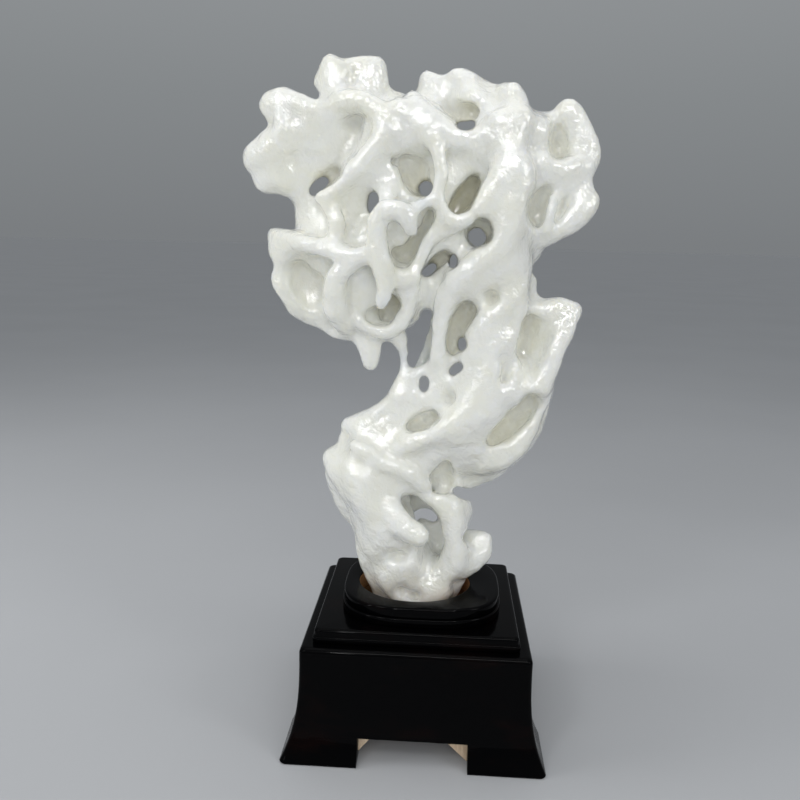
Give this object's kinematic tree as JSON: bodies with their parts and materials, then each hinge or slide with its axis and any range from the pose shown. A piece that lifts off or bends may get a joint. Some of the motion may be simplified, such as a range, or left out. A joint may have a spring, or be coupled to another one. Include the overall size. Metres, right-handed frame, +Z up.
{
  "type": "scholars rock",
  "caption": "Carved white scholar's rock with hollows, windows and winding ridges, standing in the oval collar of a black lacquered wooden stand on bracket feet.",
  "frame": {"origin": "on the table, under the middle of the whole object's bounding box", "axes": "+Z up, -Y towards the front that shows the stone's broad face, +X to that view's right"},
  "size_m": [0.1985, 0.1396, 0.3889],
  "materials": {
    "stone": "polished milky white stone, glossy and slightly translucent",
    "stand_body": "black high-gloss lacquer on wood, raw wood inside the arches",
    "step_plate": "black high-gloss lacquer on wood",
    "collar": "black high-gloss lacquer on wood, raw wood on the socket wall"
  },
  "bodies": {
    "root": {"stone": "stone", "stand_body": "stand_body", "step_plate": "step_plate", "collar": "collar"}
  },
  "joints": []
}
